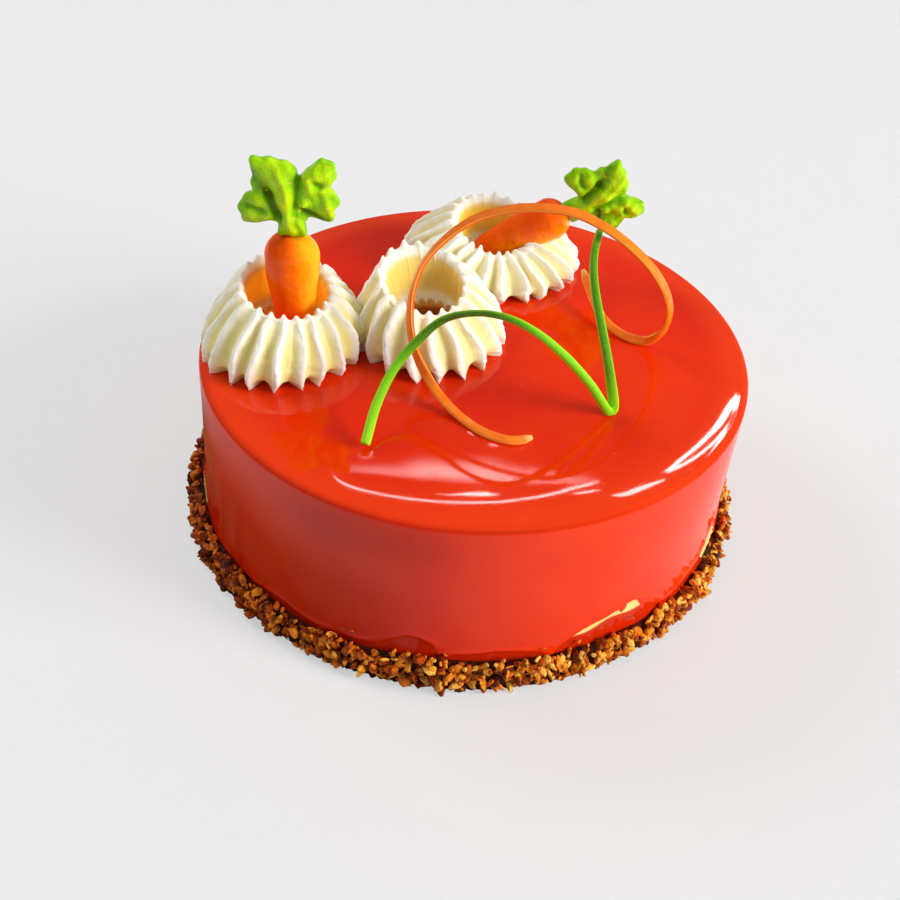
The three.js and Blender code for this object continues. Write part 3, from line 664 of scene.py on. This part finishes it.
# painted light: the root is painted yellower on its lit side
orange.give(Base_Color=orange.ramp(
    orange.sum(orange.mark("yellower"), streak), (0.15, (0.88, 0.095, 0.001)),
    (0.5, (0.92, 0.16, 0.002)), (0.75, (0.94, 0.27, 0.004)), (1, (0.95, 0.4, 0.01))))
orange.bump((orange.noise(130, 3), 0.0012), (orange.noise(420, 2), 0.00025))
green = Look("green_sugar", Roughness=0.18, IOR=1.38, Subsurface_Weight=0.15,
             Subsurface_Radius=(0.001, 0.002, 0.0004), Subsurface_Scale=0.7)
mottle = green.grade(green.noise(330, 4, 0.65), 0.2, 0.8, -0.16, 0.16)
# tone carries the painted light and shade of the relief
mottle = green.sum(green.mark("tone"), mottle)
hue = green.ramp(mottle, (0.12, (0.1, 0.22, 0.001)), (0.34, (0.16, 0.46, 0.001)),
                 (0.54, (0.28, 0.63, 0.001)), (0.85, (0.57, 0.83, 0.004)))
fleck = green.grade(green.noise(520, 1, 0.4), 0.68, 0.76)
green.give(Base_Color=green.mix(fleck, hue, (0.8, 0.62, 0.02)))
green.bump((green.noise(420, 3, 0.6), 0.0004), (green.noise(1100, 2, 0.6), 0.00025))
for side, (tip, turn, size, neck) in CARROTS.items():
    where = turned(turn) * size
    shape, painted_light = root_points()
    root = skin(f"sugar_carrot_{side}", shape @ where.T + tip, yellower=painted_light)
    keep(root, orange, "orange_sugar", f"carrot_{side}_root")
    shape, tone = leaf_points(neck)
    leaf = skin(f"sugar_leaf_{side}", shape @ where.T + tip, tone=tone)
    keep(leaf, green, "green_sugar", f"carrot_{side}_leaf")

# ------------------ chive stalk
# One fresh chive, hollow and a little flattened, 3 mm wide, cut square at its foot. It was bent over in
# an arch and creased flat where it touches the glaze, and its end leans back against the peel.
# share of the length and half width there
CHIVE_HALF = [(0, 1.5), (0.2, 1.5), (0.33, 1.05), (0.48, 1.35), (0.64, 1.5), (0.68, 1.7), (0.85, 1.3),
              (1, 1.15)]
CHIVE_ARCH = [
    (-28.6, -59.9, 2), (-26.2, -48.4, 8.8), (-21.8, -38.2, 15), (-16, -32.4, 20.6), (-8.4, -30.4, 28),
    (1.4, -34, 33.8), (10.8, -37.4, 35.2), (19.4, -39.4, 32.2), (28.4, -39.2, 24.6), (37.8, -37.4, 13),
    (45.2, -35.9, 1.75)]
CHIVE_LEAN = [
    (46.2, -34.8, 1.75), (43.4, -34, 16), (39.4, -31.2, 30), (36.5, -26.8, 39.6), (35.6, -22.4, 44),
    (35.8, -16.4, 47.4), (37.2, -9.6, 50.2)]
CHIVE_CREASE, CHIVE_FLATNESS = (45.7, -35.3, 65.5), 0.7


def strip(path, facing, outline):
    """Rows are sections across the path: the outline's u runs across it and v out along facing."""
    along = np.gradient(path, axis=0)
    along /= np.linalg.norm(along, axis=1, keepdims=True)
    across = np.cross(facing, along)
    across /= np.linalg.norm(across, axis=1, keepdims=True)
    out = np.cross(along, across)
    return path[:, None] + across[:, None] * outline[..., :1] + out[:, None] * outline[..., 1:]


def chive_points(steps=300, around=20):
    """A flattened tube whose half width follows the list; its thickness is a share of its width, and
    less at the crease. Each point keeps its share of the length and its side of the tube."""
    path = smooth_path(CHIVE_ARCH + CHIVE_LEAN, steps) + [0, 0, CAKE_HEIGHT]
    middle = np.argmin(np.linalg.norm(path - CHIVE_CREASE, axis=1))
    s = np.arange(steps)
    near = bell(s, middle, 0.018 * steps)[:, None]
    a = 2 * np.pi * np.arange(around) / around
    half = np.interp(s / (steps - 1), *zip(*CHIVE_HALF))[:, None] * (1 + 0.02 * np.sin(0.13 * s))[:, None]
    ends = np.minimum(1, 0.86 + 0.14 * np.minimum(s, steps - 1 - s))[:, None]
    thick = half * CHIVE_FLATNESS * (1 - 0.3 * near) * ends
    outline = np.stack([half * ends * np.cos(a), thick * np.sin(a)], -1)
    facing = np.tile([0.05, -1, 0.12], (steps, 1))
    return strip(path, facing, outline), dict(share=np.repeat((s / (steps - 1))[:, None], around, 1),
                                              side=np.repeat(0.5 + 0.5 * np.cos(a)[None], steps, 0))


chive_rows, chive_marks = chive_points()
stalk = skin("chive", chive_rows, **chive_marks)
chive = Look("chive_skin", Roughness=0.33, IOR=1.42)
# painted shade and light along the length: dark green over the upper left of the arch and towards the leaning
# end, bright green where light falls
along = chive.ramp(chive.mark("share"), (0, (0.29, 0.66, 0.012)), (0.13, (0.15, 0.46, 0.004)),
                   (0.22, (0.05, 0.18, 0.001)), (0.35, (0.055, 0.2, 0.001)), (0.45, (0.18, 0.6, 0.007)),
                   (0.66, (0.23, 0.7, 0.01)), (0.74, (0.09, 0.31, 0.002)), (1, (0.075, 0.27, 0.001)))
lit_edge = chive.ramp(chive.mark("side"), (0, (0.12, 0.3, 0.004)), (0.2, (0, 0, 0)),
                      (0.8, (0, 0, 0)), (1, (0.12, 0.3, 0.01)))
along = chive.mix(1, along, lit_edge, "ADD")
dots = chive.grade(chive.noise(2600, 2, 0.5), 0.5, 0.68)
chive.give(Base_Color=chive.mix(chive.times(dots, 0.3), along, (0.45, 0.85, 0.04)))
chive.bump((chive.noise(1400, 2, 0.5), 0.00018), (chive.noise(120, 2), 0.0003))
keep(stalk, chive, "chive", "chive_stalk")

# ------------------ peel curl
# One long strip cut from a raw carrot with a channel knife, 3 mm wide and 1.2 mm thick. Its outer face
# is moist orange, its ends are paler, its cut edges are painted paler as a painted highlight, and its
# inner face is redder. It springs up in a wide loop.
CURL_WIDTH, CURL_THICKNESS = 3, 1.2
CURL_PATH = [
    (21.1, -50.6, 1.3), (15.2, -52.6, 1.3), (7.6, -50.4, 1.3), (0.2, -44.6, 1.6), (-7, -38.2, 4.2),
    (-12, -33.2, 8.5), (-15.6, -29.2, 13.4), (-17.6, -26.2, 18), (-18.6, -22.6, 22.6),
    (-18.4, -17.8, 29), (-15.6, -12.4, 36.2), (-9.2, -9.2, 43.8), (-0.8, -8, 50.4), (9.2, -8.6, 54.8),
    (19.4, -10.4, 57), (28.8, -12, 57), (37.8, -13.6, 54), (46.4, -13.8, 48.2), (54.8, -11.4, 39),
    (61.4, -6.8, 27), (63.9, -2.6, 16.6), (63, 1.4, 7.4), (58.8, 3.2, 2.5), (52, 6, 2.1),
    (45.3, 13, 3.4), (41.4, 23, 5.8), (38.2, 34.4, 9)]
# share of the length, and where the outer face looks
CURL_FACING = [(0, (0, -0.2, 1)), (0.1, (0, -0.25, 1)), (0.22, (-0.75, -0.35, 0.45)),
               (0.34, (-0.97, -0.2, 0.2)), (0.44, (-0.7, -0.2, 0.6)), (0.52, (-0.1, -0.35, 1)),
               (0.62, (0.5, -0.5, 0.8)), (0.74, (0.7, -0.75, 0.2)), (0.84, (0.4, -0.8, 0.5)),
               (0.92, (-0.2, -0.5, 1)), (1, (-0.5, -0.3, 0.9))]


def curl_points(steps=360):
    """The section is a flat strip with rounded edges, its width drawn in at both cut ends. Each point
    keeps its share of the width and of the length, and its side: 1 outer, -1 inner."""
    path = smooth_path(CURL_PATH, steps) + [0, 0, CAKE_HEIGHT]
    s = np.linspace(0, 1, steps)
    knots = np.array([k[0] for k in CURL_FACING])
    looks = np.array([k[1] for k in CURL_FACING])
    hi = np.clip(np.searchsorted(knots, s), 1, len(knots) - 1)
    mix = ease((s - knots[hi - 1]) / (knots[hi] - knots[hi - 1]), 0, 1)[:, None]
    facing = looks[hi - 1] * (1 - mix) + looks[hi] * mix
    facing /= np.linalg.norm(facing, axis=1, keepdims=True)
    across = np.array([-0.5, -0.46, -0.2, 0.2, 0.46, 0.5, 0.5, 0.46, 0.2, -0.2, -0.46, -0.5])
    thick = np.array([-0.32, -0.5, -0.42, -0.42, -0.5, -0.32, 0.32, 0.5, 0.52, 0.52, 0.5, 0.32])
    taper = np.minimum(1, np.minimum(0.45 + s / 0.02, 0.45 + (1 - s) / 0.03))
    width = (CURL_WIDTH * taper * (1 + 0.05 * np.sin(40 * s)))[:, None]
    outline = np.stack([width * across, CURL_THICKNESS * thick + 0 * width], -1)
    return strip(path, facing, outline), dict(edge=np.repeat((np.abs(across) * 2)[None], steps, 0),
                                              face=np.repeat(np.sign(thick)[None], steps, 0),
                                              share=np.repeat(s[:, None], len(across), 1))


curl_rows, curl_marks = curl_points()
peel = skin("peel_curl", curl_rows, **curl_marks)
carrot = Look("carrot_peel", Roughness=0.3, IOR=1.42, Subsurface_Weight=0.1,
              Subsurface_Radius=(0.002, 0.0008, 0.0002), Subsurface_Scale=0.6)
broad = carrot.grade(carrot.noise(300, 3), 0.35, 0.7)
broad = carrot.mix(broad, (0.96, 0.165, 0.0045), (0.98, 0.24, 0.013))
# painted highlight: the cut edges are painted paler
rim = carrot.grade(carrot.mark("edge"), 0.9, 0.98)
tone = carrot.mix(rim, broad, (0.97, 0.38, 0.05))
tips = carrot.ramp(carrot.mark("share"), (0, (1, 1, 1)), (0.012, (0, 0, 0)), (0.985, (0, 0, 0)),
                   (1, (1, 1, 1)))
tone = carrot.mix(tips, tone, (0.9, 0.62, 0.22))
inner = carrot.grade(carrot.mark("face"), -0.5, 0.5, 1, 0)
carrot.give(Base_Color=carrot.mix(inner, tone, (0.86, 0.09, 0.003)))
carrot.bump((carrot.noise(900, 3, 0.6), 0.00015))
keep(peel, carrot, "peel", "carrot_curl")

# ------------------ studio
# A plain pale table in a dim room with two large soft lights. Upright behind the table stand strips of
# light that only the glaze mirrors, in place of a window, lamps and a screen across the room.
FLOOR_SIZE = 6.0
LAMP_Y = 1.3
LAMP_POINTS = 60
bpy.ops.mesh.primitive_plane_add(size=FLOOR_SIZE)
floor = bpy.context.object
floor.name = "table_top"
table = Look("pale_table", Roughness=0.6)
pale = table.grade(table.noise(3, 2), 0.3, 0.7)
pale = table.mix(pale, (0.785, 0.785, 0.775), (0.805, 0.805, 0.795))
# Looked at, the table is an even grey. Close round the cake, to rays that the cake mirrors or bounces,
# it is darker and warmer: painted shade and a painted reflection, as under a cake on its gilt board.
reach = table.add("VectorMath", {0: table.place(), 1: (-0.03, -0.01, 0)}, operation="DISTANCE")["Value"]
rays = table.add("LightPath", {})
for kind, near, far, tint in (("Is Glossy Ray", 0.085, 0.115, (0.22, 0.15, 0.05)),
                              ("Is Diffuse Ray", 0.12, 0.2, (0.3, 0.22, 0.1))):
    pale = table.mix(table.times(rays[kind], table.grade(reach, near, far, 1, 0)), pale, tint)
table.give(Base_Color=table.mix(rays["Is Camera Ray"], pale, (0.31, 0.31, 0.305)),
           Emission_Strength=table.times(rays["Is Camera Ray"], 0.52))
table.bump((table.noise(60, 2), 0.0002))
table.on(floor)


def placed(right, up, back, place):
    """World matrix from its three columns and its place."""
    return Matrix([(*row,) for row in np.stack([right, up, back, place], -1)] + [(0, 0, 0, 1)])


def soft_light(name, place, aim, size, power):
    """A square light at place, turned to aim, that no reflection shows."""
    data = bpy.data.lights.new(name, "AREA")
    data.size, data.energy = size, power
    lamp = bpy.data.objects.new(name, data)
    bpy.context.collection.objects.link(lamp)
    way = np.array(aim) - np.array(place)
    way /= np.linalg.norm(way)
    right = np.cross(way, (0, 0, 1))
    right /= np.linalg.norm(right)
    lamp.matrix_world = placed(right, np.cross(right, way), -way, place)
    lamp.visible_glossy = False


soft_light("back_light", (-1.75, 1, 1.75), (0, 0, 0), 1.2, 29)
soft_light("key_light", (3.22, -0.95, 1.33), (0, 0, 0.03), 1.5, 165)
world = bpy.context.scene.world or bpy.data.worlds.new("room")
bpy.context.scene.world = world
world.use_nodes = True
room = Nodes(world.node_tree)
height = room.add("SeparateXYZ", {0: room.add("TexCoord", {})["Generated"]})["Z"]
dusk = room.ramp(height, (0.02, (0.05, 0.05, 0.052)), (0.2, (0.16, 0.16, 0.1664)),
                 (0.9, (0.22, 0.22, 0.2288)))
rays = room.add("LightPath", {})
seen = room.mix(rays["Is Glossy Ray"], (0.85, 0.85, 0.84), dusk)
seen = room.mix(rays["Is Diffuse Ray"], seen, (0.34, 0.34, 0.345))
room.feed(room.nodes["Background"], {"Color": seen, "Strength": 1.0})


def lamp_strip(name, glow, one, two, soft=0.0):
    """A glowing strip between two curves through (x, z) places in metres, on an upright plane behind the
    table, seen only in the glaze. A soft one brightens from the first curve over that share of its
    width, and from both of its ends."""
    a, b = smooth_path(one, LAMP_POINTS), smooth_path(two, LAMP_POINTS)
    shares = [0, soft, 1] if soft else [0, 1]
    points = np.insert(np.concatenate([a + (b - a) * t for t in shares]), 1, LAMP_Y, axis=1)
    i = np.arange(LAMP_POINTS - 1) + LAMP_POINTS * np.arange(len(shares) - 1)[:, None]
    faces = np.stack([i, i + 1, i + LAMP_POINTS + 1, i + LAMP_POINTS], -1).reshape(-1, 4)
    along = np.linspace(0, 1, LAMP_POINTS)
    ends = np.clip(np.minimum(along / 0.42, (1 - along) / 0.25), 0, 1) if soft else 1 + 0 * along
    lit = np.concatenate([ends * (t > 0 or not soft) for t in shares])
    lamp = build(name, points, faces.tolist(), smooth=False, lit=lit)
    bright = Look(name, Roughness=1.0, Emission_Color=(1, 0.97, 0.95, 1))
    bright.give(Emission_Strength=bright.times(bright.mark("lit"), glow))
    bright.on(lamp)
    lamp.visible_camera = lamp.visible_diffuse = lamp.visible_shadow = lamp.visible_transmission = False


lamp_strip("window_sill", 11, [
    (-0.345, 1.552), (-0.289, 1.5), (-0.247, 1.486), (-0.193, 1.468), (-0.144, 1.458), (-0.117, 1.412),
    (-0.081, 1.388), (-0.048, 1.384), (-0.015, 1.388), (0.017, 1.358), (0.049, 1.353), (0.084, 1.378),
    (0.119, 1.401), (0.154, 1.414), (0.203, 1.428), (0.267, 1.446), (0.307, 1.457), (0.34, 1.486)], [
    (-0.345, 1.588), (-0.298, 1.557), (-0.255, 1.546), (-0.2, 1.531), (-0.149, 1.526), (-0.124, 1.524),
    (-0.087, 1.519), (-0.05, 1.508), (-0.014, 1.506), (0.022, 1.505), (0.057, 1.506), (0.093, 1.508),
    (0.129, 1.504), (0.165, 1.502), (0.214, 1.501), (0.281, 1.517), (0.32, 1.512), (0.346, 1.507)], soft=0.5)
lamp_strip("window_arch", 22, [
    (-0.336, 1.595), (-0.326, 1.632), (-0.288, 1.667), (-0.219, 1.689), (-0.163, 1.697), (-0.108, 1.699),
    (-0.053, 1.698), (0.027, 1.684), (0.106, 1.66), (0.156, 1.633), (0.205, 1.602), (0.251, 1.565),
    (0.284, 1.532), (0.318, 1.505), (0.338, 1.486)], [
    (-0.339, 1.611), (-0.329, 1.649), (-0.291, 1.685), (-0.221, 1.707), (-0.165, 1.716), (-0.109, 1.718),
    (-0.054, 1.717), (0.028, 1.703), (0.107, 1.678), (0.158, 1.651), (0.208, 1.622), (0.255, 1.587),
    (0.289, 1.554), (0.324, 1.528), (0.343, 1.509)])
lamp_strip("high_bar", 34, [
    (-0.06, 1.64), (-0.026, 1.631), (0.005, 1.617), (0.037, 1.604), (0.07, 1.6), (0.1, 1.604)], [
    (-0.06, 1.642), (-0.026, 1.637), (0.005, 1.632), (0.039, 1.628), (0.072, 1.621), (0.1, 1.606)])
lamp_strip("far_bar", 30, [(0.285, 1.59), (0.321, 1.574), (0.358, 1.56)],
           [(0.285, 1.594), (0.324, 1.586), (0.359, 1.566)])
lamp_strip("side_bar", 26, [
    (0.409, 1.606), (0.434, 1.596), (0.452, 1.574), (0.47, 1.554), (0.486, 1.537), (0.51, 1.521),
    (0.535, 1.501)], [
    (0.414, 1.618), (0.448, 1.621), (0.468, 1.607), (0.487, 1.585), (0.504, 1.56), (0.522, 1.536),
    (0.539, 1.512)])
lamp_strip("screen_near", 30, [
    (0.608, 1.039), (0.604, 1.059), (0.597, 1.084), (0.593, 1.113), (0.591, 1.146), (0.586, 1.19),
    (0.579, 1.235), (0.568, 1.277), (0.553, 1.325), (0.538, 1.37), (0.527, 1.411), (0.514, 1.454)], [
    (0.621, 1.054), (0.626, 1.076), (0.626, 1.1), (0.618, 1.121), (0.616, 1.155), (0.612, 1.191),
    (0.6, 1.233), (0.588, 1.275), (0.575, 1.319), (0.56, 1.358), (0.549, 1.399), (0.529, 1.448)])
lamp_strip("screen_far", 30, [
    (0.624, 1.105), (0.634, 1.152), (0.632, 1.185), (0.622, 1.233), (0.61, 1.284), (0.592, 1.335),
    (0.574, 1.376), (0.557, 1.402), (0.535, 1.429)], [
    (0.631, 1.084), (0.637, 1.126), (0.639, 1.155), (0.642, 1.196), (0.636, 1.244), (0.622, 1.3),
    (0.603, 1.352), (0.581, 1.394), (0.565, 1.421), (0.528, 1.464)])

# ------------------ camera
# It stands above the front of the cake, aimed at the middle of its foot and then panned, tilted and
# rolled a little. Place in metres, turns in degrees, lens in mm on a 36 mm sensor.
CAMERA_PLACE = np.array([0.0, -0.34759, 0.30752])
CAMERA_PAN, CAMERA_TILT, CAMERA_ROLL = 0.51, 1.5, -3.96
CAMERA_LENS = 50.68


def spun(v, axis, degrees):
    """v turned about a unit axis."""
    c, s = np.cos(np.radians(degrees)), np.sin(np.radians(degrees))
    return v * c + np.cross(axis, v) * s + axis * (axis @ v) * (1 - c)


ahead = -CAMERA_PLACE / np.linalg.norm(CAMERA_PLACE)
right = np.array([1.0, 0, 0])
up = np.cross(right, ahead)
ahead, right = spun(ahead, up, CAMERA_PAN), spun(right, up, CAMERA_PAN)
ahead, up = spun(ahead, right, CAMERA_TILT), spun(up, right, CAMERA_TILT)
right, up = spun(right, ahead, CAMERA_ROLL), spun(up, ahead, CAMERA_ROLL)
camera_data = bpy.data.cameras.new("camera")
camera_data.lens, camera_data.sensor_width, camera_data.clip_start = CAMERA_LENS, 36, 0.01
camera = bpy.data.objects.new("camera", camera_data)
bpy.context.collection.objects.link(camera)
camera.matrix_world = placed(right, up, -ahead, CAMERA_PLACE)
bpy.context.scene.camera = camera
bpy.context.scene.view_settings.view_transform = "Standard"
